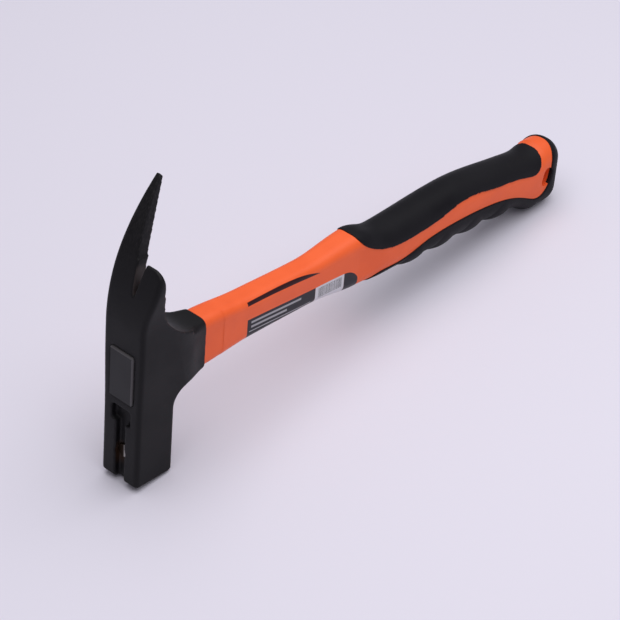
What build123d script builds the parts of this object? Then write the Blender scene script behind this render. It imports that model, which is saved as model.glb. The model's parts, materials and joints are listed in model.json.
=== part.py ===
from build123d import *
from math import asin, atan, atan2, cos, degrees, pi, sqrt, tan
import os

# Roofing hammer: a forged head with a spike and a nail claw, on an overmoulded fibreglass handle.
# The pieces are modelled in the head's own axes: the origin is the centre of the striking face,
# +X runs along the handle to its butt, +Y points to the spike's side, and +Z runs from the
# striking face up to the claw. At the end the hammer is laid down as it rests on a table, on the
# heel of the striking face and the lobe of the butt, with the origin in mid footprint.

# ---------------------------------------------------------------- driving dimensions, mm
# Forged head
face_width = 26.0            # square striking face, across the cheeks
face_depth = 26.0            # square striking face, along the handle
face_chamfer = 2.0           # bevel round the striking face
head_height = 171.0          # striking face to the tip of the spike
cheek_width = 27.8           # the cheeks swell to this at the eye
cheek_rise = 17.0            # widest place of the cheeks, above the middle of the eye
edge_softness = 2.3          # rounding of the edges along the front of the head
back_softness = 2.3          # rounding of the block's back edges and under the collar
claw_start = 95.0            # where the front face starts to sweep back
spike_reach = 28.6           # how far back of the front face the spike's tip lies
claw_hollow = 38.0           # radius of the hollow between the claw's back and the collar
spike_thickness = 7.6        # spike, front to back, at the mouth of the nail slot
spike_inset = 2.8            # how far the spike's outer edge comes in at its tip
spike_tip_width = 4.2
spike_tip_depth = 3.0        # spike, front to back, just under its tip
spike_tip_radius = 2.1
nub_height = 134.4           # top of the short claw
nub_flare = 6.4              # how far the short claw stands out past the block
nub_corner = 7.0             # outer corner of the short claw
nub_thickness = 1.8          # short claw, front to back, at its edge
slot_root_z = 111.0          # bottom of the nail slot
slot_root_y = -3.5
slot_root_radius = 0.7
slot_mouth = 5.6             # nail slot, side to side, at its mouth
slot_lean = 1.8              # how far the spike's nail edge leans over the slot's length
slot_step = 1.0              # ledge where the ground nail edge ends
slot_step_z = 134.8

# Collar that takes the handle
collar_reach = 38.0          # rim of the collar, from the middle of the block
collar_bottom = 51.1
collar_top = 81.4
collar_width = 17.4
collar_fillet = 10.0         # hollow under the collar, down to the block
collar_waist = 12.1          # half width halfway from the cheeks to the rim
rim_slope = 0.16             # the collar still narrows this steeply at its rim
rim_corner = 4.6             # rounding of the collar's upper corners at its rim
rim_corner_run = 13.0        # how far from the rim that rounding has died out

# Nail starter in the front of the block
starter_width = 13.2         # pocket for the nail's head
starter_bottom = 37.6
starter_top = 47.2
starter_corner = 1.6
starter_depth = 3.7
groove_width = 6.6           # groove for the nail's shank, down to the striking face
magnet_diameter = 7.6
magnet_height = 18.0         # the magnet's axis above the striking face
magnet_length = 3.0          # let this deep into the floor of the groove
magnet_proud = 0.7           # and standing this much out of it

# Eye, with the plug and the bond that hold the core
eye_bottom = 52.1
eye_top = 82.3
eye_width = 16.3
eye_corner = 1.2
eye_rear_height = 25.0
eye_rear_width = 13.6
plug_proud = 0.9
plug_length = 3.4
plug_bevel = 0.5

# Fibreglass core
core_height = 20.0
core_width = 10.4
core_corner = 3.0
core_length = 262.0
core_drop = 8.5              # how far the core's middle drops from its front end to its back end

# Handle stations, each a run on from the last: run, mid height, height, width
neck_run, neck_mid, neck_height, neck_width = 34.0, 65.1, 25.7, 15.9
waist_run, waist_mid, waist_height, waist_width = 46.0, 63.5, 24.8, 15.6
swell_run, swell_mid, swell_height, swell_width = 39.0, 62.9, 32.2, 19.6
throat_run, throat_mid, throat_height, throat_width = 21.0, 59.4, 29.4, 23.4
palm_run, palm_mid, palm_height, palm_width = 59.0, 59.4, 33.8, 24.6
heel_run, heel_mid, heel_height, heel_width = 54.0, 54.1, 31.2, 24.2
butt_run, butt_mid, butt_height, butt_width = 20.0, 49.1, 38.2, 24.2
crown_run, crown_mid, crown_height, crown_width = 6.0, 50.6, 40.4, 24.0
end_run = 16.5               # from the crown, where the butt is highest, to its end
butt_rounding = 10.9         # rounding of the butt's end
shank_corner = 5.0           # corner radius of the slim part
swell_corner = 7.0           # corner radius where the handle swells in front of the palm
grip_flat = 1.4              # flat left between the round flanks of the grip
jacket_step = 0.45           # the jacket sits this much inside the sides of the collar's rim
jacket_drop = 0.4            # and its middle this much lower than the rim's

# Soft pads moulded on the jacket
pad_proud = 0.7
pad_depth = 2.2              # how deep the pads are let into the jacket
scallop_lead = 11.0          # from the throat of the grip to the first notch
scallop_pitch = 25.4
scallop_count = 4
scallop_depth = 2.9
scallop_flank = 13.0         # radius of the scallops round the grip
scallop_notch = 0.2          # the notches between them are this much inside the pad

# Hanging hole through the butt
hole_width = 7.6
hole_length = 12.2
hole_lean = 13.0             # degrees off upright
hole_from_end = 15.0
hole_mid = 52.0

# Label on the cheek of the handle that faces away from the spike
label_thickness = 0.3
label_start = 9.0            # from the rim of the collar
label_length = 103.0
label_top = 0.86             # its edges, as shares of the handle's half height from its middle
label_foot = -0.64

section_gap = 8.0            # the handle's form is lofted through sections about this far apart

# ---------------------------------------------------------------- places that follow
front_x = -face_depth / 2
back_x = face_depth / 2
half_face = face_width / 2
half_cheek = cheek_width / 2
eye_mid = (eye_bottom + eye_top) / 2
cheek_z = eye_mid + cheek_rise
starter_floor = front_x + starter_depth
slot_left = slot_root_y + slot_lean
claw_outer = -half_face - nub_flare
spike_outer_y = half_face - spike_inset
tip_shoulder = head_height - spike_tip_radius
claw_sweep = (spike_reach ** 2 + (head_height - claw_start) ** 2) / (2 * spike_reach)
blank_top = head_height + 1
collar_mid = (collar_bottom + collar_top) / 2
beyond = 60.0                # how far cutting bodies run past the piece that they cut

neck_x = collar_reach + neck_run
waist_x = neck_x + waist_run
swell_x = waist_x + swell_run
throat_x = swell_x + throat_run
palm_x = throat_x + palm_run
heel_x = palm_x + heel_run
butt_x = heel_x + butt_run
crown_x = butt_x + crown_run
butt_end = crown_x + end_run
scallop_x = throat_x + scallop_lead
hole_x = butt_end - hole_from_end
core_front = front_x - plug_proud + plug_length


# Handle stations: x, mid height, height, width and corner radius
STATIONS = [
    (
        collar_reach,
        collar_mid - jacket_drop,
        collar_top - collar_bottom,
        collar_width - 2 * jacket_step,
        shank_corner,
    ),
    (neck_x, neck_mid, neck_height, neck_width, shank_corner),
    (waist_x, waist_mid, waist_height, waist_width, shank_corner),
    (swell_x, swell_mid, swell_height, swell_width, swell_corner),
    (throat_x, throat_mid, throat_height, throat_width, (throat_width - grip_flat) / 2),
    (palm_x, palm_mid, palm_height, palm_width, (palm_width - grip_flat) / 2),
    (heel_x, heel_mid, heel_height, heel_width, (heel_width - grip_flat) / 2),
    (butt_x, butt_mid, butt_height, butt_width, (butt_width - grip_flat) / 2),
    (crown_x, crown_mid, crown_height, crown_width, (crown_width - grip_flat) / 2),
]

# Edges of the two pads, seen from the side, as on_side takes them: a place counts the stations
# from the collar's rim on, and a level runs from -1 on the underside to 1 on top
PALM_EDGE = [
    (2.93, 1.7), (2.97, 0.85), (3.3, 0.52), (4.03, 0.35), (4.47, 0.31), (4.76, 0.42), (5.02, 0.58),
    (5.33, 0.67), (5.7, 0.62), (6.43, 0.47), (6.87, 0.5), (7.3, 0.7), (7.56, 0.98), (7.75, 1.6),
]
FINGER_EDGE = [
    (3.26, -1.7), (3.33, -1.03), (3.55, -0.7), (4.12, -0.57), (4.47, -0.26), (4.78, -0.12),
    (5.13, -0.12), (5.5, -0.13), (5.91, -0.24), (6.54, -0.39), (7.39, -0.44), (8.1, -0.32),
    (8.27, 0.02), (8.27, 0.5), (8.42, 0.88), (8.62, 1.15), (8.75, 1.6),
]


def claw_front(z):
    """X of the front of the head at a height: flat, then an arc that sweeps back."""
    rise = max(z - claw_start, 0.0)
    return front_x + claw_sweep - sqrt(claw_sweep ** 2 - rise ** 2)


def claw_back(z):
    """X of the straight back of the spike at a height."""
    mouth_x = claw_front(slot_step_z) + spike_thickness
    tip_x = claw_front(tip_shoulder) + spike_tip_depth
    return mouth_x + (tip_x - mouth_x) * (z - slot_step_z) / (tip_shoulder - slot_step_z)


def face_of(*lines):
    """A flat face inside a closed run of lines and curves."""
    return make_face([edge for line in lines for edge in line.edges()])


def across(outline):
    """A side view, drawn in X and Z, made solid across the whole width."""
    return extrude(Plane.XZ.offset(-beyond) * outline, 2 * beyond)


def section(x, mid, height, width, corner):
    """An upright cross section of the handle."""
    plane = Plane(origin=(x, 0, mid), x_dir=(0, 1, 0), z_dir=(1, 0, 0))
    return plane * RectangleRounded(width, height, corner)


# ---------------------------------------------------------------- head
def head_side():
    """Block, collar and swept-back claw, as seen from the side, with the tip still square."""
    half_rise = (claw_start + blank_top) / 2
    sweep = ThreePointArc(
        (front_x, claw_start),
        (claw_front(half_rise), half_rise),
        (claw_front(blank_top), blank_top),
    )
    lean = atan2(claw_back(tip_shoulder) - claw_back(collar_top), tip_shoulder - collar_top)
    collar_run = collar_reach - claw_back(collar_top)
    hollow = min(claw_hollow, 0.99 * collar_run * tan((pi / 2 - lean) / 2))
    outline = FilletPolyline(
        (claw_front(blank_top), blank_top),
        (claw_front(blank_top) + spike_tip_depth, blank_top),
        (claw_back(tip_shoulder), tip_shoulder),
        (claw_back(collar_top), collar_top),
        (collar_reach, collar_top),
        (collar_reach, collar_bottom),
        (back_x, collar_bottom),
        (back_x, 0),
        (front_x, 0),
        (front_x, claw_start),
        radius=[0, 0, hollow, 0, 0, collar_fillet, 0, 0],
    )
    return across(face_of(sweep, outline))


def head_front():
    """Block, cheeks and the claw before it is slit, as seen from the front, in Y and Z."""
    near_cheek = Spline(
        (-half_face, starter_bottom),
        (-half_cheek, cheek_z),
        (-half_cheek, claw_start),
        tangents=((0, 1), (0, 1)),
    )
    spike_outer = Spline(
        (half_cheek, claw_start),
        (half_face, slot_step_z),
        (spike_outer_y, tip_shoulder),
        tangents=((0, 1), (-spike_inset, tip_shoulder - slot_step_z)),
    )
    blank_lean = spike_inset * (blank_top - tip_shoulder) / (tip_shoulder - slot_step_z)
    top = Polyline(
        (spike_outer_y, tip_shoulder),
        (spike_outer_y - blank_lean, blank_top),
        (claw_outer, blank_top),
        (claw_outer, nub_height - nub_corner),
    )
    nub_side = Spline(
        (claw_outer, nub_height - nub_corner),
        (-half_cheek, claw_start),
        tangents=((0, -1), (0, -1)),
    )
    foot = Polyline(
        (-half_face, starter_bottom),
        (-half_face, 0),
        (half_face, 0),
        (half_face, starter_bottom),
    )
    outline = face_of(near_cheek, near_cheek.mirror(Plane.YZ), spike_outer, top, nub_side, foot)
    return extrude(Plane.YZ.offset(-beyond) * outline, 3 * beyond)


def collar_sides():
    """What is cut away beside the collar, which narrows from the cheeks to its rim."""
    root = (back_x - 10, half_cheek + 0.1)
    rim = (collar_reach, collar_width / 2)
    waist = ((back_x + collar_reach) / 2, collar_waist)
    curve = Spline(root, waist, rim, tangents=((1, 0), (1, -rim_slope)))
    around = Polyline(rim, (collar_reach + 1, rim[1]), (collar_reach + 1, beyond), (root[0], beyond), root)
    far_side = extrude(face_of(curve, around), claw_start)
    return far_side + far_side.mirror(Plane.XZ)


def rim_corners():
    """What is cut away over the collar's upper corners, which round off towards its rim."""
    outlines = []
    for x, radius in ((collar_reach - rim_corner_run, 0.1), (collar_reach, rim_corner)):
        side = collar_width / 2 + (collar_reach - x) * rim_slope
        low, inner, out, above = collar_top - radius, side - radius, side + 2, collar_top + 2
        round_part = RadiusArc((side, low), (inner, collar_top), -radius)
        rest = Polyline((inner, collar_top), (inner, above), (out, above), (out, low), (side, low))
        outlines.append(Plane.YZ.offset(x) * face_of(round_part, rest))
    corner = loft(outlines)
    return corner + corner.mirror(Plane.XZ)


def claw_slit():
    """What is cut away between the spike and the short claw, and round the spike's tip."""
    inner = spike_outer_y - spike_tip_width
    above = blank_top + beyond
    tip = ThreePointArc(
        (spike_outer_y, tip_shoulder),
        ((spike_outer_y + inner) / 2, head_height),
        (inner, tip_shoulder),
    )
    notch = FilletPolyline(
        (inner, tip_shoulder),
        (slot_left + slot_step, slot_step_z),
        (slot_left, slot_step_z - slot_step / 2),
        (slot_root_y, slot_root_z),
        (slot_left - slot_mouth, nub_height),
        (claw_outer, nub_height),
        (claw_outer, nub_height - nub_corner),
        (claw_outer - nub_corner, nub_height - nub_corner),
        (claw_outer - nub_corner, above),
        (spike_outer_y + nub_corner, above),
        (spike_outer_y + nub_corner, tip_shoulder),
        (spike_outer_y, tip_shoulder),
        radius=[0, 0, slot_root_radius, 0, nub_corner * 0.99, 0, 0, 0, 0, 0],
    )
    return extrude(Plane.YZ.offset(-beyond) * face_of(tip, notch), 3 * beyond)


def tip_rounding():
    """What is cut away over the spike's tip, as seen from the side."""
    front = (claw_front(tip_shoulder), tip_shoulder)
    back = (claw_back(tip_shoulder), tip_shoulder)
    arc = ThreePointArc(front, ((front[0] + back[0]) / 2, head_height), back)
    around = Polyline(
        back,
        (back[0] + beyond, tip_shoulder),
        (back[0] + beyond, blank_top + beyond),
        (front[0] - beyond, blank_top + beyond),
        (front[0] - beyond, tip_shoulder),
        front,
    )
    return across(face_of(arc, around))


def short_claw_back():
    """What is cut away behind the short claw, which is thinner than the spike."""
    hollow_z = collar_top + claw_hollow
    tip_back = claw_front(nub_height) + nub_thickness
    outline = Polyline(
        (claw_front(hollow_z) + spike_thickness, hollow_z),
        (tip_back, nub_height + 1),
        (tip_back + beyond, nub_height + 1),
        (tip_back + beyond, hollow_z),
        close=True,
    )
    return extrude(Plane.XZ.offset(-slot_root_y) * face_of(outline), beyond)


def nail_starter():
    """Pocket for a nail's head and the groove for its shank, open at the striking face."""
    pocket_height = starter_top - starter_bottom
    pocket_mid = (starter_top + starter_bottom) / 2
    floor = Plane(origin=(starter_floor, 0, 0), x_dir=(0, -1, 0), z_dir=(-1, 0, 0))
    pocket = Pos(0, pocket_mid) * RectangleRounded(starter_width, pocket_height, starter_corner)
    groove = Pos(0, pocket_mid / 2 - 1) * Rectangle(groove_width, pocket_mid + 2)
    return extrude(floor * (pocket + groove), beyond)


def magnet_bore(start, end):
    """A round bar on the magnet's axis between two places along X."""
    plane = Plane(origin=(start, 0, magnet_height), z_dir=(1, 0, 0))
    return extrude(plane * Circle(magnet_diameter / 2), end - start)


def eye():
    """The tapered eye through the head: widest in front, so that the head can't fly off."""
    mouth = section(core_front, eye_mid, eye_top - eye_bottom, eye_width, eye_corner)
    rear = section(collar_reach, collar_mid, eye_rear_height, eye_rear_width, eye_corner)
    return loft([mouth, rear])


def eye_mouth(start, end):
    """The straight mouth of the eye between two places along X."""
    return extrude(section(start, eye_mid, eye_top - eye_bottom, eye_width, eye_corner), end - start)


def along_front(edge):
    """Whether an edge climbs along the front of the head."""
    on_front = all(abs((edge @ t).X - claw_front((edge @ t).Z)) < 0.01 for t in (0, 0.5, 1))
    return on_front and abs((edge @ 0).Z - (edge @ 1).Z) > 1


def under_collar(edge):
    """Whether an edge climbs the back of the block or runs on under the collar."""
    low, high = sorted(((edge @ 0), (edge @ 1)), key=lambda point: point.Z)
    beside = min(abs(low.Y), abs(high.Y)) >= collar_width / 2 - 0.01 and low.Y * high.Y > 0
    behind = min(low.X, high.X) > back_x - 0.01 and high.Z < collar_bottom + 0.01
    return beside and behind and (high - low).length > 0.5


def make_head():
    """The forging, with its eye, its nail starter and the slit claw."""
    head = (head_side() & head_front()) - collar_sides()
    tip_lean = asin((tip_shoulder - claw_start) / claw_sweep)
    front_rounding = min(edge_softness, spike_tip_depth * cos(tip_lean))
    head = fillet(head.edges().filter_by(along_front), front_rounding)
    head = fillet(head.edges().filter_by(under_collar), back_softness)
    face_edges = head.faces().sort_by(Axis.Z)[0].edges()
    head = chamfer(face_edges, min(face_chamfer, 0.94 * front_rounding))
    head = head - rim_corners() - claw_slit() - tip_rounding() - short_claw_back()
    head = head - nail_starter() - magnet_bore(front_x - 1, starter_floor + magnet_length)
    return head - eye_mouth(front_x - 1, core_front) - eye()


def make_magnet():
    return magnet_bore(starter_floor - magnet_proud, starter_floor + magnet_length)


def make_plug():
    """The plug that closes the eye, standing a little proud of the front."""
    plug = eye_mouth(front_x - plug_proud, core_front)
    return chamfer(plug.faces().sort_by(Axis.X)[0].edges(), plug_bevel)


def make_core():
    """A straight fibreglass bar from behind the plug to deep inside the grip."""
    front = section(core_front, eye_mid, core_height, core_width, core_corner)
    back = section(core_front + core_length, eye_mid - core_drop, core_height, core_width, core_corner)
    return loft([front, back])


# ---------------------------------------------------------------- handle
def slope_at(rows, i, k):
    """Slope of column k at station i: flat at a high or low place, else the mean of both sides."""
    if i in (0, len(rows) - 1):
        return 0.0
    (x0, x1, x2), (a, b, c) = zip(*((row[0], row[k]) for row in rows[i - 1:i + 2]))
    before, after = (b - a) / (x1 - x0), (c - b) / (x2 - x1)
    return 0.0 if before * after <= 0 else 2 * before * after / (before + after)


def between(rows, x):
    """Sizes of the section at x, on smooth curves through the stations."""
    i = max(n for n in range(len(rows) - 1) if rows[n][0] <= x + 1e-9)
    run = rows[i + 1][0] - rows[i][0]
    t = (x - rows[i][0]) / run
    sizes = []
    for k in range(1, len(rows[0])):
        a, b = rows[i][k], rows[i + 1][k]
        lead, trail = slope_at(rows, i, k) * run, slope_at(rows, i + 1, k) * run
        bend = (3 - 2 * t) * t ** 2
        sizes.append(a + (b - a) * bend + lead * t * (1 - t) ** 2 - trail * (1 - t) * t ** 2)
    return sizes


def handle_form(grow):
    """The handle's outer form, grown all round by a small amount."""
    count = round((crown_x - collar_reach) / section_gap)
    step = (crown_x - collar_reach) / count
    faces = []
    for n in range(count + 1):
        x = collar_reach + n * step
        mid, height, width, corner = between(STATIONS, x)
        faces.append(section(x, mid, height + 2 * grow, width + 2 * grow, corner + grow))
    end = extrude(faces[-1], end_run + grow)
    end = fillet(end.faces().sort_by(Axis.X)[-1].edges(), butt_rounding + grow)
    return loft(faces) + end


def on_side(place, level):
    """A point of the side view: place counts stations, level is -1 on the underside and 1 on top."""
    station = int(place)
    run_end = STATIONS[station + 1][0] if station + 1 < len(STATIONS) else butt_end
    x = STATIONS[station][0] + (place - station) * (run_end - STATIONS[station][0])
    mid, height = between(STATIONS, min(x, crown_x))[:2]
    return (x, mid + level * height / 2)


def region(edge_points, *corners):
    """Everything on one side of a curved edge, all the way across the handle."""
    edge = Spline(*(on_side(*point) for point in edge_points))
    around = Polyline(edge @ 1, *corners, edge @ 0)
    return across(face_of(edge, around))


def palm_region():
    """Where the palm pad lies: over the back of the grip, down to the stripe's upper edge."""
    above = collar_top + beyond
    return region(PALM_EDGE, (butt_x, above), (swell_x, above))


def finger_region():
    """Where the finger pad lies: under the stripe and all over the butt."""
    above, below = collar_top + beyond, -beyond
    behind = butt_end + beyond
    return region(FINGER_EDGE, (butt_end, above), (behind, above), (behind, below), (swell_x, below))


def scallop(start, end):
    """A finger rest: a barrel between two notches, as low as the pad at both its ends."""
    ends = []
    for x in (start, end):
        mid, height = between(STATIONS, x)[:2]
        ends.append(Vector(x, 0, mid - height / 2 - pad_proud + scallop_notch))
    along = (ends[1] - ends[0]).normalized()
    inward = Vector(-along.Z, 0, along.X)
    middle = (ends[0] + ends[1]) / 2 - inward * scallop_depth
    axis_ends = [point + inward * (scallop_flank - scallop_depth) for point in ends]
    profile = face_of(ThreePointArc(ends[0], middle, ends[1]), Polyline(ends[1], *axis_ends[::-1], ends[0]))
    return revolve(profile, Axis(axis_ends[0], along))


def hanging_hole():
    """The slot through the butt for hanging the hammer up."""
    middle = Plane(origin=(hole_x, -beyond, hole_mid), x_dir=(1, 0, 0), z_dir=(0, 1, 0))
    outline = Rot(0, 0, 90 + hole_lean) * SlotOverall(hole_length, hole_width)
    return extrude(middle * outline, 2 * beyond)


def make_resin():
    """The bond that fills the eye round the core, from the plug to the rim of the collar."""
    return eye() - make_core()


def make_palm_pad():
    return (handle_form(pad_proud) & palm_region()) - handle_form(-pad_depth)


def make_finger_pad():
    """The pad under the fingers, with its scallops, which runs on over the butt."""
    body = handle_form(pad_proud)
    for n in range(scallop_count):
        start = scallop_x + n * scallop_pitch
        body = body + scallop(start, start + scallop_pitch)
    return (body & finger_region()) - handle_form(-pad_depth) - hanging_hole()


def make_jacket():
    """The stiff moulding round the core, which shows as the neck and as a stripe down the grip."""
    inner = handle_form(-pad_depth)
    shown = handle_form(0) - palm_region() - finger_region()
    return (shown + inner) - make_core() - hanging_hole()


def make_label():
    """A thin sticker on the side of the neck that faces away from the spike."""
    start, end = collar_reach + label_start, collar_reach + label_start + label_length
    upper, lower = [], []
    for x in (start, neck_x, waist_x, end):
        mid, height = between(STATIONS, x)[:2]
        upper.append((x, mid + label_top * height / 2))
        lower.append((x, mid + label_foot * height / 2))
    sides = (Line(upper[0], lower[0]), Line(upper[-1], lower[-1]))
    outline = face_of(Spline(*upper), Spline(*lower), *sides)
    return (handle_form(label_thickness) - handle_form(0)) & extrude(Plane.XZ * outline, beyond)


# ---------------------------------------------------------------- laid on the table
def lowest(piece, tilt):
    return (Rot(0, tilt, 0) * piece).bounding_box().min.Z


def rest_tilt(head, pad):
    """The tilt at which the heel of the striking face and the lobe of the butt rest together."""
    tilt = 0.0
    for _ in range(5):
        gap = lowest(pad, tilt) - lowest(head, tilt)
        tilt += degrees(atan(gap / (butt_x - back_x)))
    return tilt


pieces = {
    "hammer_head": make_head(),
    "nail_magnet": make_magnet(),
    "eye_resin": make_resin(),
    "eye_plug": make_plug(),
    "handle_core": make_core(),
    "handle_jacket": make_jacket(),
    "palm_pad": make_palm_pad(),
    "finger_pad": make_finger_pad(),
    "side_label": make_label(),
}
tilt = rest_tilt(pieces["hammer_head"], pieces["finger_pad"])
laid = Rot(0, tilt, 0) * Compound(list(pieces.values()))
footprint = laid.bounding_box()
rest = Pos(-footprint.center().X, -footprint.center().Y, -footprint.min.Z) * Rot(0, tilt, 0)

os.makedirs("parts", exist_ok=True)
for name, piece in pieces.items():
    export_step(rest * piece, f"parts/{name}.step")
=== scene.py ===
# %% [markdown]
# # A roofing hammer, finished in Blender
# The hammer comes as nine separate solids, each in its real place and at its real size, in metres. This
# lesson gives every solid the finish of the real one. It rounds the edges of the forged head and of the two
# rubber pads, lays a printed film on the neck, and then sets out a table, soft light and a camera.

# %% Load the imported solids
import json
import math

import bmesh
import bpy
from mathutils import Matrix, Vector
from mathutils.bvhtree import BVHTree


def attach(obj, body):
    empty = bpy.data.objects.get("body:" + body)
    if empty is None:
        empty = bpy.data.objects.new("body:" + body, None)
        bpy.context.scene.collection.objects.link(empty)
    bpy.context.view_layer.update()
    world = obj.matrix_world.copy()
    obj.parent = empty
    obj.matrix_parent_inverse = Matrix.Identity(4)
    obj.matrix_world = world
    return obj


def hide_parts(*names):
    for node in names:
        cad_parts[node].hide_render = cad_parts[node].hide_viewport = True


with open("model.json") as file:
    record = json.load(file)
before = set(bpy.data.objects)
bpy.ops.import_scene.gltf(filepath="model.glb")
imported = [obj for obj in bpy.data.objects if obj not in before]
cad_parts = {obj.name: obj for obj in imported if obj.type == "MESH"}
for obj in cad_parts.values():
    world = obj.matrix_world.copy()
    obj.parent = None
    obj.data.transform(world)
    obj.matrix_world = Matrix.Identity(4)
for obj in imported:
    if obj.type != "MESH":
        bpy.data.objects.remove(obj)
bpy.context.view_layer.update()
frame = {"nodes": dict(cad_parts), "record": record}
solids = frame["nodes"]
print("solids:", ", ".join(sorted(solids)))

# %% [markdown]
# ## The hammer's own axes
# The hammer lies on the table a little nose up, on the heel of its striking face and on its butt. Labels and
# worn places are far easier to find along the hammer than along the table. So we read the middle and the
# direction of the striking face from the record, and measure from there: *along* to the butt, *side*
# towards the spike's side, and *up* from the face to the spike.

# %% Axes from the striking face
MM = 0.001
face = next(mount for mount in frame["record"]["mounts"] if mount["name"] == "striking_face")
face_middle = Vector(face["pos_m"])
head_up = -Vector(face["axis"]).normalized()
to_side = Vector((0, 1, 0))
along_handle = to_side.cross(head_up)


def on_hammer(along, side, up):
    """The place in the frame of a point given in millimetres on the hammer's own axes."""
    return face_middle + MM * (along * along_handle + side * to_side + up * head_up)


tilt = math.degrees(math.atan2(-along_handle.z, along_handle.x))
print(f"the hammer rests {tilt:.2f} degrees nose up")

# %% [markdown]
# ## Small helpers for shader nodes
# A material is a little machine of nodes. Written out in full, each node takes several lines, so these
# helpers make a node, set its plain values and plug in whatever is already a socket.

# %% Helpers that add nodes
def add_node(tree, kind, inputs=None, **settings):
    """A new node in a tree: a socket among the inputs is linked, anything else is set as a value."""
    node = tree.nodes.new(kind)
    for name, value in settings.items():
        setattr(node, name, value)
    for name, value in (inputs or {}).items():
        if isinstance(value, bpy.types.NodeSocket):
            tree.links.new(value, node.inputs[name])
        else:
            node.inputs[name].default_value = value
    return node


def maths(tree, operation, first, second=0.0, third=0.0):
    """One step of arithmetic on values or sockets."""
    inputs = {0: first, 1: second, 2: third}
    return add_node(tree, "ShaderNodeMath", inputs, operation=operation).outputs[0]


def vector_maths(tree, operation, first, second, output="Vector"):
    """One step of arithmetic on vectors or their sockets."""
    node = add_node(tree, "ShaderNodeVectorMath", {0: first, 1: second}, operation=operation)
    return node.outputs[output]


def noise(tree, place, scale, detail):
    """Soft noise round 0.5, from a place and a number of waves per unit."""
    inputs = {"Vector": place, "Scale": scale, "Detail": detail}
    return add_node(tree, "ShaderNodeTexNoise", inputs).outputs["Fac"]


def ramp(tree, value, low, high, to_low=0.0, to_high=1.0):
    """A soft step: the value's range from low to high becomes to_low to to_high, and stays inside it."""
    inputs = {"Value": value, "From Min": low, "From Max": high, "To Min": to_low, "To Max": to_high}
    return add_node(tree, "ShaderNodeMapRange", inputs, interpolation_type="SMOOTHSTEP").outputs[0]


def mix_colours(tree, share, first, second):
    """Two colours mixed: share 0 gives the first and share 1 the second."""
    node = add_node(tree, "ShaderNodeMix", {0: share, 6: first, 7: second}, data_type="RGBA")
    return node.outputs[2]


def new_group(name, inputs, outputs):
    """An empty node group with named sockets, and its input and output nodes."""
    group = bpy.data.node_groups.new(name, "ShaderNodeTree")
    for socket, kind, value in inputs:
        made = group.interface.new_socket(socket, in_out="INPUT", socket_type=kind)
        if value is not None:
            made.default_value = value
    for socket, kind in outputs:
        group.interface.new_socket(socket, in_out="OUTPUT", socket_type=kind)
    return group, group.nodes.new("NodeGroupInput"), group.nodes.new("NodeGroupOutput")


def place_group(tree, group, **inputs):
    """A group placed in a material, with its inputs set; underscores stand for spaces."""
    node = add_node(tree, "ShaderNodeGroup", node_tree=group)
    for name, value in inputs.items():
        socket = node.inputs[name.replace("_", " ")]
        if isinstance(value, bpy.types.NodeSocket):
            tree.links.new(value, socket)
        else:
            socket.default_value = value
    return node


FLOAT, VECTOR = "NodeSocketFloat", "NodeSocketVector"

# %% [markdown]
# ## Where am I on the hammer?
# Every solid's object sits at the origin, so object coordinates are the frame's own metres. Three dot
# products turn them into millimetres along, across and up the hammer. Many finishes need these numbers, so
# they come from one group.

# %% Group: hammer position
def position_group():
    """Outputs the place on the hammer, as three numbers and as one vector."""
    outputs = [("Along", FLOAT), ("Side", FLOAT), ("Up", FLOAT), ("Millimetres", VECTOR)]
    group, _, out = new_group("Hammer position", [], outputs)
    place = add_node(group, "ShaderNodeTexCoord").outputs["Object"]
    from_face = vector_maths(group, "SUBTRACT", place, face_middle)
    axes = {"Along": along_handle, "Side": to_side, "Up": head_up}
    joined = add_node(group, "ShaderNodeCombineXYZ")
    for slot, (name, axis) in enumerate(axes.items()):
        dot = vector_maths(group, "DOT_PRODUCT", from_face, axis / MM, "Value")
        group.links.new(dot, out.inputs[name])
        group.links.new(dot, joined.inputs[slot])
    group.links.new(joined.outputs[0], out.inputs["Millimetres"])
    return group


HAMMER_POSITION = position_group()

# %% [markdown]
# ## Grain
# Cast, moulded and sprayed surfaces are never quite smooth. Two noises, a coarse one and a fine one, are
# mixed to a height that each material turns into bumps of its own depth. A third, much larger, makes soft
# patches for small changes of colour and gloss.

# %% Group: surface grain
COARSE_SCALE = 0.28  # waves of the coarse noise to each wave of the fine one
PATCH_SCALE = 0.045  # waves to the millimetre


def grain_group():
    """Outputs a height for bumps and a mask of soft patches. The grain's size is in millimetres."""
    inputs = [("Grain Size", FLOAT, 1.0), ("Coarse Share", FLOAT, 0.5)]
    group, given, out = new_group("Surface grain", inputs, [("Height", FLOAT), ("Patches", FLOAT)])
    place = place_group(group, HAMMER_POSITION).outputs["Millimetres"]
    fine_scale = maths(group, "DIVIDE", 1.0, given.outputs["Grain Size"])
    fine = noise(group, place, fine_scale, detail=2.0)
    coarse = noise(group, place, maths(group, "MULTIPLY", fine_scale, COARSE_SCALE), detail=3.0)
    patches = noise(group, place, PATCH_SCALE, detail=4.0)
    height = add_node(group, "ShaderNodeMix", {0: given.outputs["Coarse Share"], 2: fine, 3: coarse})
    group.links.new(height.outputs[0], out.inputs["Height"])
    group.links.new(ramp(group, patches, 0.3, 0.7), out.inputs["Patches"])
    return group


SURFACE_GRAIN = grain_group()

# %% [markdown]
# ## A material to start from
# Each material starts as a fresh Principled BSDF. The numbers that are the same all over the surface are
# set on the shader's own sockets.

# %% Helper: a new material
def new_material(name, **values):
    """A material and its Principled shader, with plain values for the sockets named."""
    material = bpy.data.materials.new(name)
    material.use_nodes = True
    shader = material.node_tree.nodes["Principled BSDF"]
    for socket, value in values.items():
        shader.inputs[socket.replace("_", " ")].default_value = value
    return material, material.node_tree, shader


def finish(tree, shader, colour, roughness):
    """A shader gets its colour and its roughness."""
    tree.links.new(colour, shader.inputs["Base Color"])
    tree.links.new(roughness, shader.inputs["Roughness"])


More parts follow.
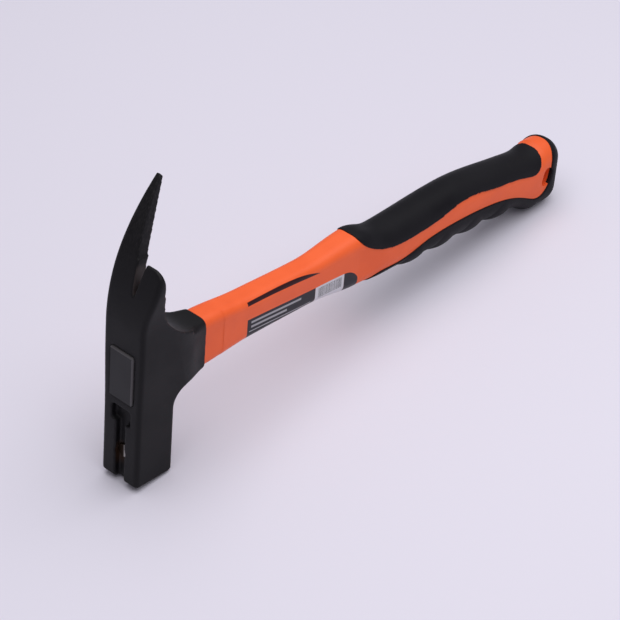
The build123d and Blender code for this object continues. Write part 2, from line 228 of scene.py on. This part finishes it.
def patchy(tree, grain, low, high):
    """A value that runs from low to high in the grain's patches."""
    return ramp(tree, grain.outputs["Patches"], 0.0, 1.0, low, high)


def bumped(tree, shader, height, distance):
    """Bumps of a height in metres on a shader."""
    bump = add_node(tree, "ShaderNodeBump", {"Height": height, "Distance": distance, "Strength": 1.0})
    tree.links.new(bump.outputs["Normal"], shader.inputs["Normal"])


def finish_solid(name, material):
    """A solid takes one material, in all its slots."""
    mesh = solids[name].data
    mesh.materials.clear()
    mesh.materials.append(material)


# %% [markdown]
# ## Round edges
# A forging and a soft moulding have round edges where their solids have sharp ones. We rebuild a copy of
# such a solid in small even faces, and smooth it. A smoothing pass moves only what isn't flat, so flat
# sides stay where they are and edges become round. A thin tip would shrink, so it is smoothed less. A spot
# that needs more smoothing is given by its middle, and a shape that needs another edge by a function of
# places. How far each point has moved is kept as a colour, a mask that shows rubbed edges.

# %% Helper: a softened piece
TIP_START, TIP_FADE = 156.0, 8.0  # millimetres up the hammer, and the next ones over which smoothing fades
TIP_SHARE = 0.12                  # the share of the smoothing that is left at the tip
SPOT_RADIUS, SPOT_PASSES = 9.0, 40
FULLY_RUBBED = 0.3                # a point that moved this many millimetres counts as a rubbed edge


def soften(name, material, face_size, passes, spot=None, reshape=None):
    """A piece that stands for a solid, rebuilt in even faces of a size in millimetres, and smoothed."""
    even = copy_of(name)
    remesh = even.modifiers.new("even_faces", "REMESH")
    remesh.mode, remesh.voxel_size = "VOXEL", MM * face_size
    apply_modifiers(even)
    if reshape is not None:
        for vertex in even.data.vertices:
            vertex.co = reshape(vertex.co)
    before = [vertex.co.copy() for vertex in even.data.vertices]
    if spot is not None:
        add_smoothing(even, SPOT_PASSES, lambda place: 2 - 2 * (place - spot).length / (MM * SPOT_RADIUS))
    add_smoothing(even, passes, body_share)
    apply_modifiers(even)
    mesh = even.data
    edge = mesh.color_attributes.new("edge", "FLOAT_COLOR", "POINT")
    for vertex, start, colour in zip(mesh.vertices, before, edge.data):
        moved = min(1.0, (vertex.co - start).length / (MM * FULLY_RUBBED))
        colour.color = (moved, moved, moved, 1)
    mesh.shade_smooth()
    mesh.materials.clear()
    mesh.materials.append(material)
    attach(even, "root")
    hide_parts(name)


def copy_of(name):
    """A new object with its own copy of a solid's mesh."""
    piece = bpy.data.objects.new("soft_" + name, solids[name].data.copy())
    bpy.context.collection.objects.link(piece)
    return piece


def body_share(place):
    """How much a point takes part in the smoothing: less towards the tip of the spike."""
    height = (place - face_middle).dot(head_up) / MM
    return max(TIP_SHARE, 1 - (height - TIP_START) / TIP_FADE)


def add_smoothing(piece, passes, share_at):
    """Smoothing passes whose strength at each point is given by a function, and kept from 0 to 1."""
    smooth = piece.modifiers.new("round_edges", "SMOOTH")
    group = piece.vertex_groups.new(name="share")
    for vertex in piece.data.vertices:
        group.add([vertex.index], max(0.0, min(1.0, share_at(vertex.co))), "REPLACE")
    smooth.factor, smooth.iterations, smooth.vertex_group = 0.5, passes, group.name


def apply_modifiers(piece):
    """The shape that the modifiers make becomes the piece's own mesh."""
    shaped = piece.evaluated_get(bpy.context.evaluated_depsgraph_get())
    mesh = bpy.data.meshes.new_from_object(shaped)
    piece.modifiers.clear()
    piece.data = mesh


# %% [markdown]
# ## Black coated steel
# The head is forged, ground on the claw and then coated black. The coat is satin, with a fine orange-peel
# grain. Its edges are rubbed a little brighter. The spike keeps the streaks of the grinding wheel under
# the coat, so its colour and gloss are uneven above the mouth of the nail slot. The wall of the slot that
# faces the label's side is painted much lighter, a painted streak of light that lifts it out of the slot's
# shade. Brown dirt gathers in the groove round the magnet.

# %% Material: coated steel
COAT, PALE_COAT = (0.006, 0.0056, 0.0068, 1), (0.0085, 0.008, 0.0095, 1)
GROUND_STEEL = (0.016, 0.0145, 0.016, 1)
RUBBED_EDGE = (0.026, 0.024, 0.027, 1)
# painted light: a pale grey that lifts the slot wall facing the label's side out of the slot's shade
PAINTED_SLOT_LIGHT = (0.055, 0.044, 0.044, 1)
BROWN_DIRT = (0.035, 0.017, 0.009, 1)
# Places on the head, in millimetres along, to the side and up
SLOT_WALL = (-6.0, -2.5, 122.0)
BESIDE_MAGNET = (-9.5, 2.5, 16.0)
LEDGE = on_hammer(3, -18, 119)        # a small step behind the side claw, which a forging wouldn't have
GROUND_FROM, GROUND_FULLY = 118.0, 150.0
DIRT_FROM, DIRT_FULLY = -12.7, -11.6  # a little behind the flat front
STREAK_STRETCH = (1.0, 2.2, 0.35)


def near(tree, place, middle, far, close):
    """A mask that is 1 closer than some millimetres to a place on the hammer, and 0 when far from it."""
    away = vector_maths(tree, "DISTANCE", place.outputs["Millimetres"], middle, "Value")
    return ramp(tree, away, far, close)


def facing_label_side(tree):
    """A mask of the faces that look towards the label's side."""
    normal = add_node(tree, "ShaderNodeNewGeometry").outputs["Normal"]
    return ramp(tree, vector_maths(tree, "DOT_PRODUCT", normal, -to_side, "Value"), 0.6, 0.9)


def tinted(tree, colour, strength, mask, other):
    """A colour with another over it, as strong as the mask times a strength."""
    return mix_colours(tree, maths(tree, "MULTIPLY", mask, strength), colour, other)


def coated_steel():
    """The head's finish, with its ground, rubbed and dirty places, and a painted light on the wall of the nail
    slot.
    """
    material, tree, shader = new_material("coated_steel", Specular_IOR_Level=0.15)
    grain = place_group(tree, SURFACE_GRAIN, Grain_Size=0.55, Coarse_Share=0.45)
    patches = grain.outputs["Patches"]
    place = place_group(tree, HAMMER_POSITION)
    stretched = vector_maths(tree, "MULTIPLY", place.outputs["Millimetres"], STREAK_STRETCH)
    streaks = ramp(tree, noise(tree, stretched, 0.9, detail=5.0), 0.42, 0.72)
    ground = ramp(tree, place.outputs["Up"], GROUND_FROM, GROUND_FULLY)
    streaked = maths(tree, "MULTIPLY", streaks, ground)
    edge = add_node(tree, "ShaderNodeVertexColor", layer_name="edge").outputs["Color"]
    wear_and_highlight = ramp(tree, maths(tree, "MULTIPLY", edge, patches), 0.35, 1.0)
    # painted light: the slot wall that faces the label's side is painted lighter, against the shade in the
    # slot
    lit_slot_wall = maths(tree, "MULTIPLY", facing_label_side(tree), near(tree, place, SLOT_WALL, 11.0, 7.0))
    in_groove = ramp(tree, place.outputs["Along"], DIRT_FROM, DIRT_FULLY)
    dirt_and_shade = maths(tree, "MULTIPLY", near(tree, place, BESIDE_MAGNET, 9.0, 3.0), in_groove)
    colour = mix_colours(tree, patches, COAT, PALE_COAT)
    colour = mix_colours(tree, streaked, colour, GROUND_STEEL)
    colour = mix_colours(tree, wear_and_highlight, colour, RUBBED_EDGE)
    colour = tinted(tree, colour, 0.8, lit_slot_wall, PAINTED_SLOT_LIGHT)
    colour = tinted(tree, colour, 0.75, dirt_and_shade, BROWN_DIRT)
    polish = maths(tree, "MULTIPLY", streaked, 0.1)
    finish(tree, shader, colour, maths(tree, "SUBTRACT", patchy(tree, grain, 0.44, 0.54), polish))
    scratches = maths(tree, "MULTIPLY", streaked, 0.8)
    bumped(tree, shader, maths(tree, "ADD", grain.outputs["Height"], scratches), 0.00006)
    return material


soften("hammer_head", coated_steel(), face_size=0.6, passes=5, spot=LEDGE)

# %% [markdown]
# ## The magnet
# The magnet is a small plated disc. Its plating is rubbed bright by nails on the label's side, and dulled
# by brown filings on the other and in spots.

# %% Material: magnet
PLATING, FILINGS = (0.5, 0.48, 0.46, 1), (0.03, 0.02, 0.014, 1)


def magnet_metal():
    """Bright plating under spots of dirt."""
    material, tree, shader = new_material("magnet_metal", Metallic=1.0)
    grain = place_group(tree, SURFACE_GRAIN, Grain_Size=0.9, Coarse_Share=0.7)
    spots = ramp(tree, grain.outputs["Height"], 0.5, 0.62)
    side = place_group(tree, HAMMER_POSITION).outputs["Side"]
    dirt = maths(tree, "MAXIMUM", spots, ramp(tree, side, -1.4, 0.6))
    colour = mix_colours(tree, dirt, PLATING, FILINGS)
    finish(tree, shader, colour, ramp(tree, dirt, 0.0, 1.0, 0.3, 0.6))
    bumped(tree, shader, grain.outputs["Height"], 0.00005)
    return material


finish_solid("nail_magnet", magnet_metal())

# %% [markdown]
# ## Eye plug, bond and core
# The plug is hard black plastic, smoother than the coat on the head. Its upper edge and the edge on the
# label's side carry a painted highlight, and its lower edge a painted shade. Behind it, out of sight, are the
# dark resin that holds the handle in the eye and the straw-coloured bar of glass fibres. Hidden parts still
# get their own finish, because somebody may take the hammer apart.

# %% Materials: plug, resin and fibreglass
PLUG_TOP, PLUG_FOOT, PLUG_SIDE = 82.3, 52.1, -8.15  # the solid's own edges, the side being the label's
PLASTIC, PALE_PLASTIC = (0.009, 0.0086, 0.0105, 1), (0.012, 0.0115, 0.0135, 1)
# a painted highlight for the plug's upper and side edges, and a painted shade for its lower edge
PAINTED_EDGE_HIGHLIGHT, PAINTED_EDGE_SHADE = (0.075, 0.07, 0.075, 1), (0.003, 0.003, 0.003, 1)
RESIN, PALE_RESIN = (0.03, 0.022, 0.016, 1), (0.06, 0.045, 0.03, 1)
FIBRE, PALE_FIBRE = (0.5, 0.43, 0.22, 1), (0.78, 0.72, 0.5, 1)


def black_plastic():
    """The plug's finish, with a painted highlight on its upper and side edges and a painted shade on its lower
    edge.
    """
    material, tree, shader = new_material("black_plastic", Specular_IOR_Level=0.25)
    grain = place_group(tree, SURFACE_GRAIN, Grain_Size=0.8, Coarse_Share=0.6)
    place = place_group(tree, HAMMER_POSITION)
    # painted highlight along the upper and label-side edges, painted shade along the lower edge
    lit_top_edge = ramp(tree, place.outputs["Up"], PLUG_TOP - 1.1, PLUG_TOP - 0.6)
    lit_side_edge = ramp(tree, place.outputs["Side"], PLUG_SIDE + 1.1, PLUG_SIDE + 0.6)
    wear_and_highlight = maths(tree, "MAXIMUM", lit_top_edge, lit_side_edge)
    dirt_and_shade = ramp(tree, place.outputs["Up"], PLUG_FOOT + 1.0, PLUG_FOOT + 0.5)
    colour = mix_colours(tree, grain.outputs["Patches"], PLASTIC, PALE_PLASTIC)
    colour = mix_colours(tree, wear_and_highlight, colour, PAINTED_EDGE_HIGHLIGHT)
    colour = mix_colours(tree, dirt_and_shade, colour, PAINTED_EDGE_SHADE)
    finish(tree, shader, colour, patchy(tree, grain, 0.36, 0.46))
    bumped(tree, shader, grain.outputs["Height"], 0.00003)
    return material


def cast_resin():
    """A dark brown resin with a glossy skin."""
    material, tree, shader = new_material("cast_resin", Coat_Weight=0.3)
    grain = place_group(tree, SURFACE_GRAIN, Grain_Size=2.0, Coarse_Share=0.5)
    colour = mix_colours(tree, grain.outputs["Height"], RESIN, PALE_RESIN)
    finish(tree, shader, colour, patchy(tree, grain, 0.2, 0.35))
    return material


def glass_fibres():
    """Straw-coloured fibres, drawn out along the handle."""
    material, tree, shader = new_material("glass_fibres")
    place = place_group(tree, HAMMER_POSITION).outputs["Millimetres"]
    fibres = noise(tree, vector_maths(tree, "MULTIPLY", place, (0.03, 3.0, 3.0)), 1.0, detail=4.0)
    colour = mix_colours(tree, ramp(tree, fibres, 0.35, 0.65), FIBRE, PALE_FIBRE)
    finish(tree, shader, colour, ramp(tree, fibres, 0.3, 0.7, 0.35, 0.55))
    bumped(tree, shader, fibres, 0.0001)
    return material


finish_solid("eye_plug", black_plastic())
finish_solid("eye_resin", cast_resin())
finish_solid("handle_core", glass_fibres())

# %% [markdown]
# ## Orange moulding
# The jacket is a stiff orange plastic with a satin skin: a strong colour, a broad soft highlight and a very
# fine grain from the mould.

# %% Material: orange moulding
ORANGE, DEEP_ORANGE = (0.93, 0.138, 0.036, 1), (0.87, 0.12, 0.029, 1)


def orange_colour(tree, grain):
    """Two near oranges in soft patches."""
    return mix_colours(tree, grain.outputs["Patches"], DEEP_ORANGE, ORANGE)


def orange_moulding():
    """The jacket's finish."""
    material, tree, shader = new_material("orange_moulding", Specular_IOR_Level=0.26)
    grain = place_group(tree, SURFACE_GRAIN, Grain_Size=0.7, Coarse_Share=0.35)
    finish(tree, shader, orange_colour(tree, grain), patchy(tree, grain, 0.42, 0.5))
    bumped(tree, shader, grain.outputs["Height"], 0.00003)
    return material


finish_solid("handle_jacket", orange_moulding())

# %% [markdown]
# ## The printed film
# The label is a thin film that wraps from the flat side of the neck up over its rounding. We lay it on
# the jacket's real surface: rays from above and below find the neck's height at each place, and rays from
# the side find its skin. Each point keeps two numbers as its UV, in units of 100 mm: its place along the
# hammer, and its height over the middle of the neck, measured along the skin. The print is drawn in them.

# %% Helper: rays onto a solid
def skin_finder(name):
    """A function that gives where a ray from a place on the hammer first meets a solid."""
    mesh = solids[name].data
    corners = [vertex.co for vertex in mesh.vertices]
    tree = BVHTree.FromPolygons(corners, [list(face.vertices) for face in mesh.polygons])

    def find(along, side, up, direction):
        hit, normal, _, _ = tree.ray_cast(on_hammer(along, side, up), direction)
        return hit, normal

    return find


# %% Printed film
FILM_START, FILM_END = 51.5, 154.5    # millimetres along the hammer
FILM_FOOT, FILM_TOP = -0.97, 0.985    # shares of half the neck's height
FILM_COLUMNS, FILM_ROWS = 104, 44
FILM_THICKNESS = 0.12
NECK_MIDDLE, FAR = 66.0, 60.0         # rays start this far out from about the neck's middle
PRINT_UNIT = 100.0                    # millimetres to one unit of the UVs


def film_column(find, along):
    """A column of places up the neck's side, each with its height over the middle in millimetres."""
    top = (find(along, 0, NECK_MIDDLE + FAR, -head_up)[0] - face_middle).dot(head_up)
    foot = (find(along, 0, NECK_MIDDLE - FAR, head_up)[0] - face_middle).dot(head_up)
    middle, half = (top + foot) / 2 / MM, (top - foot) / 2 / MM
    places = []
    for row in range(FILM_ROWS + 1):
        swing = math.sin(math.pi * (row / FILM_ROWS - 0.5))
        share = (FILM_TOP + FILM_FOOT + (FILM_TOP - FILM_FOOT) * swing) / 2
        hit, normal = find(along, -FAR, middle + share * half, to_side)
        places.append((hit + MM * FILM_THICKNESS * normal, share * half))
    return places


def skin_heights(places):
    """The height of each place of a column, measured along the skin from the flat middle."""
    flat_row = min(range(len(places)), key=lambda row: abs(places[row][1]))
    heights = {flat_row: places[flat_row][1]}
    for step, rows in ((1, range(flat_row + 1, len(places))), (-1, range(flat_row - 1, -1, -1))):
        for row in rows:
            gap = (places[row][0] - places[row - step][0]).length / MM
            heights[row] = heights[row - step] + step * gap
    return heights


def make_film():
    """The film as a grid of points on the skin of the neck, with its print places as UVs."""
    find = skin_finder("handle_jacket")
    film = bmesh.new()
    prints, columns = {}, []
    for number in range(FILM_COLUMNS + 1):
        along = FILM_START + (FILM_END - FILM_START) * number / FILM_COLUMNS
        places = film_column(find, along)
        heights = skin_heights(places)
        column = [film.verts.new(place) for place, _ in places]
        for row, vertex in enumerate(column):
            prints[vertex] = (along, heights[row])
        columns.append(column)
    for left, right in zip(columns, columns[1:]):
        for row in range(FILM_ROWS):
            film.faces.new((left[row], right[row], right[row + 1], left[row + 1]))
    layer = film.loops.layers.uv.new("print")
    for film_face in film.faces:
        for loop in film_face.loops:
            loop[layer].uv = Vector(prints[loop.vert]) / PRINT_UNIT
    mesh = bpy.data.meshes.new("printed_film")
    film.to_mesh(mesh)
    film.free()
    mesh.shade_smooth()
    piece = bpy.data.objects.new("printed_film", mesh)
    bpy.context.collection.objects.link(piece)
    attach(piece, "root")
    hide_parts("side_label")
    return piece


printed_film = make_film()

# %% [markdown]
# ## The print
# Flat colours make the print: a dark stripe that tapers to a point, a dark panel with plain light bars, a
# pale block with upright bars, and a dark end with a rounded corner. Every printed shape is a mask, and a
# rectangle with soft sides makes nearly all of them, so the rectangle is a group.

# %% Group: printed rectangle
INK_BLEED = 0.12


def rectangle_group():
    """Outputs a mask of a rectangle, whose edges are soft over the width that the ink bleeds."""
    inputs = [(name, FLOAT, 0.0) for name in ("Across", "Up", "Left", "Right", "Bottom", "Top")]
    group, given, out = new_group("Printed rectangle", inputs, [("Ink", FLOAT)])
    sides = []
    for value, low, high in (("Across", "Left", "Right"), ("Up", "Bottom", "Top")):
        for edge, sign in ((low, 1.0), (high, -1.0)):
            inside = maths(group, "SUBTRACT", given.outputs[value], given.outputs[edge])
            sides.append(ramp(group, maths(group, "MULTIPLY", inside, sign), -INK_BLEED, INK_BLEED))
    ink = sides[0]
    for side in sides[1:]:
        ink = maths(group, "MULTIPLY", ink, side)
    group.links.new(ink, out.inputs["Ink"])
    return group


PRINTED_RECTANGLE = rectangle_group()

# %% Layout and inks of the print, in millimetres along the hammer and up the skin
INK, STRIPE_INK = (0.014, 0.013, 0.019, 1), (0.03, 0.006, 0.009, 1)
PAPER, BAR_INK = (0.66, 0.65, 0.69, 1), (0.03, 0.028, 0.035, 1)
PRINT_START, STRIPE_END, PANEL_END, BLOCK_END = 69.5, 125.0, 122.2, 144.0
UNDERSIDE = -30.0
PANEL_BARS = ((72.5, 111.0, 1.8, 1.3), (72.5, 100.0, 4.6, 1.3), (71.0, 119.0, 7.6, 0.6))
BLOCK_TOP = -1.4
UPRIGHT_BARS = (124.5, 142.3, -9.0, -2.6)
CORNER_MIDDLE, CORNER_RADIUS = (BLOCK_END, -13.2), 11.8


# %% Material: printed label
def line(tree, value, slope, level):
    """A level that rises or falls evenly with a value."""
    return maths(tree, "MULTIPLY_ADD", value, slope, level)


def power(tree, value, exponent):
    """A value raised to a power."""
    return maths(tree, "POWER", value, exponent)


def distance_from(tree, across, up, middle):
    """How far each printed place lies from a point of the print."""
    sideways = power(tree, maths(tree, "SUBTRACT", across, middle[0]), 2.0)
    upwards = power(tree, maths(tree, "SUBTRACT", up, middle[1]), 2.0)
    return maths(tree, "SQRT", maths(tree, "ADD", sideways, upwards))


def printed_label():
    """The film's finish: orange like the jacket, with the print laid over it, shape by shape."""
    material, tree, shader = new_material("printed_label", Specular_IOR_Level=0.26)
    mapped = add_node(tree, "ShaderNodeUVMap", uv_map="print").outputs[0]
    place = add_node(tree, "ShaderNodeSeparateXYZ", {0: mapped})
    across = maths(tree, "MULTIPLY", place.outputs["X"], PRINT_UNIT)
    up = maths(tree, "MULTIPLY", place.outputs["Y"], PRINT_UNIT)
    grain = place_group(tree, SURFACE_GRAIN, Grain_Size=0.5, Coarse_Share=0.5)

    def block(left, right, bottom, top):
        return place_group(
            tree, PRINTED_RECTANGLE, Across=across, Up=up, Left=left, Right=right, Bottom=bottom, Top=top
        ).outputs["Ink"]

    taper = maths(tree, "DIVIDE", maths(tree, "SUBTRACT", across, PRINT_START), STRIPE_END - PRINT_START)
    stripe_foot = line(tree, power(tree, taper, 2.0), -2.2, 9.4)
    stripe_top = line(tree, power(tree, taper, 5.0), -4.5, 11.7)
    stripe = block(PRINT_START, STRIPE_END, stripe_foot, stripe_top)
    panel_top = line(tree, across, -0.042, 3.8)
    panel = block(PRINT_START, PANEL_END, UNDERSIDE, panel_top)
    colour = mix_colours(tree, stripe, orange_colour(tree, grain), STRIPE_INK)
    colour = mix_colours(tree, panel, colour, INK)
    for left, right, drop, height in PANEL_BARS:
        bar_top = maths(tree, "SUBTRACT", panel_top, drop)
        bar = block(left, right, maths(tree, "SUBTRACT", bar_top, height), bar_top)
        colour = tinted(tree, colour, 0.55, bar, PAPER)
    colour = mix_colours(tree, block(PANEL_END, BLOCK_END, UNDERSIDE, BLOCK_TOP), colour, PAPER)
    rows = {"W": maths(tree, "MULTIPLY", across, 1.1), "Detail": 1.0}
    widths = add_node(tree, "ShaderNodeTexNoise", rows, noise_dimensions="1D").outputs[0]
    upright = maths(tree, "MULTIPLY", ramp(tree, widths, 0.5, 0.53), block(*UPRIGHT_BARS))
    colour = mix_colours(tree, upright, colour, BAR_INK)
    from_corner = distance_from(tree, across, up, CORNER_MIDDLE)
    rounded = ramp(tree, from_corner, CORNER_RADIUS + 0.1, CORNER_RADIUS - 0.1)
    end = maths(tree, "MULTIPLY", rounded, block(BLOCK_END, FILM_END + 5, UNDERSIDE, BLOCK_TOP))
    colour = mix_colours(tree, end, colour, INK)
    finish(tree, shader, colour, patchy(tree, grain, 0.32, 0.42))
    bumped(tree, shader, grain.outputs["Height"], 0.000015)
    return material


printed_film.data.materials.append(printed_label())

# %% [markdown]
# ## Soft rubber pads
# The pads are soft black rubber with a fine matt grain. Moulded rubber has no sharp edges: where a pad
# stands proud of the orange its edge is round, and the ridges between the finger rests are blunt. Behind
# the middle of the grip, the palm pad's lower edge hangs a little lower than that of its solid, so its
# points turn down round the grip's flank there.

# %% Material: soft rubber
RUBBER, PALE_RUBBER = (0.008, 0.0075, 0.0098, 1), (0.011, 0.0105, 0.013, 1)


def soft_rubber():
    """The finish of both pads."""
    material, tree, shader = new_material("soft_rubber", Specular_IOR_Level=0.1)
    grain = place_group(tree, SURFACE_GRAIN, Grain_Size=0.45, Coarse_Share=0.3)
    colour = mix_colours(tree, grain.outputs["Patches"], RUBBER, PALE_RUBBER)
    finish(tree, shader, colour, patchy(tree, grain, 0.5, 0.6))
    bumped(tree, shader, grain.outputs["Height"], 0.00008)
    return material


# %% Soft pads
FLANK_RADIUS, HALF_FLAT = 11.5, 0.7
FLANK_AT, FLANK_MIDDLE, FLANK_SLOPE = 265.0, 61.4, -0.1185  # the height of the rounding's middle, and its fall
SAG, SAG_AT, SAG_SPREAD = 2.6, 266.0, 15.0                  # how far down, where along, and how widely
FADE_END, FADE_RANGE = math.radians(80), math.radians(45)   # no more movement near the top of the pad


def palm_shape(place):
    """A point of the palm pad, moved down round the grip's flank where the pad's edge hangs lower."""
    offset = (place - face_middle) / MM
    along, side, up = (offset.dot(axis) for axis in (along_handle, to_side, head_up))
    flank_up = FLANK_MIDDLE + FLANK_SLOPE * (along - FLANK_AT)
    out, rise = abs(side) - HALF_FLAT, up - flank_up
    if rise < 0:
        return place
    radius, angle = math.hypot(out, rise), math.atan2(rise, out)
    fade = max(0.0, min(1.0, (FADE_END - angle) / FADE_RANGE))
    drop = SAG * fade * math.exp(-(((along - SAG_AT) / SAG_SPREAD) ** 2) / 2)
    turned = angle - drop / FLANK_RADIUS
    out = radius * math.cos(max(turned, 0.0))
    rise = radius * math.sin(turned) if turned > 0 else turned * FLANK_RADIUS
    return on_hammer(along, math.copysign(out + HALF_FLAT, side), flank_up + rise)


rubber = soft_rubber()
soften("palm_pad", rubber, face_size=0.5, passes=7, reshape=palm_shape)
soften("finger_pad", rubber, face_size=0.5, passes=7)

# %% [markdown]
# ## Table, light and camera
# The table is a plain pale sheet, a touch violet. Above it hangs one large soft lamp, a little to the
# label's side, and the sky is an even pale grey that fills the shadows. The camera looks down at the hammer
# from the head's end and the label's side.

# %% Table
SHEET, PALE_SHEET = (0.72, 0.69, 0.79, 1), (0.77, 0.74, 0.84, 1)
SHEET_REACH = 6.0


def make_table():
    """A wide flat sheet that the hammer lies on."""
    mesh = bpy.data.meshes.new("table")
    table = bpy.data.objects.new("table", mesh)
    bpy.context.collection.objects.link(table)
    shape = bmesh.new()
    bmesh.ops.create_grid(shape, x_segments=1, y_segments=1, size=SHEET_REACH)
    shape.to_mesh(mesh)
    shape.free()
    material, tree, shader = new_material("pale_sheet", Roughness=0.7, Specular_IOR_Level=0.1)
    place = add_node(tree, "ShaderNodeTexCoord").outputs["Object"]
    colour = mix_colours(tree, noise(tree, place, 1.5, detail=1.0), SHEET, PALE_SHEET)
    tree.links.new(colour, shader.inputs["Base Color"])
    mesh.materials.append(material)


make_table()

# %% Light
SKY, SKY_STRENGTH = (0.95, 0.94, 1.0, 1), 0.275
LAMP_PLACE, LAMP_SIZE, LAMP_WATTS = Vector((0.1, -0.16, 1.25)), (2.0, 1.8), 21.2


def make_light():
    """An even sky, and a large lamp that points at the middle of the hammer."""
    world = bpy.data.worlds.new("pale_sky")
    world.use_nodes = True
    background = world.node_tree.nodes["Background"]
    background.inputs["Color"].default_value = SKY
    background.inputs["Strength"].default_value = SKY_STRENGTH
    bpy.context.scene.world = world
    lamp = bpy.data.lights.new("soft_lamp", "AREA")
    lamp.shape = "RECTANGLE"
    lamp.size, lamp.size_y = LAMP_SIZE
    lamp.energy = LAMP_WATTS
    holder = bpy.data.objects.new("soft_lamp", lamp)
    bpy.context.collection.objects.link(holder)
    holder.location = LAMP_PLACE
    holder.rotation_euler = (-LAMP_PLACE).to_track_quat("-Z", "Y").to_euler()


make_light()

# %% Camera
LENS, SENSOR_WIDTH = 145.24, 36.0
FROM_HEEL = Vector((-0.65162, -0.70857, 0.88400))
PITCH, YAW, ROLL = math.radians(39.237), math.radians(42.605), math.radians(0.335)


def make_camera():
    """A long lens that looks down by the pitch, turned by the yaw from the X axis, and rolled a touch."""
    camera = bpy.data.objects.new("camera", bpy.data.cameras.new("camera"))
    bpy.context.collection.objects.link(camera)
    camera.data.lens = LENS
    camera.data.sensor_width = SENSOR_WIDTH
    heel = on_hammer(13, 0, 0)
    heel.z = 0
    camera.location = heel + FROM_HEEL
    flat = math.cos(PITCH)
    ahead = Vector((flat * math.cos(YAW), flat * math.sin(YAW), -math.sin(PITCH)))
    level = Vector((math.sin(YAW), -math.cos(YAW), 0))
    above = level.cross(ahead)
    rolled_level = math.cos(ROLL) * level + math.sin(ROLL) * above
    rolled_above = math.cos(ROLL) * above - math.sin(ROLL) * level
    camera.rotation_euler = Matrix((rolled_level, rolled_above, -ahead)).transposed().to_euler()
    bpy.context.scene.camera = camera


make_camera()
bpy.context.scene.view_settings.view_transform = "Standard"
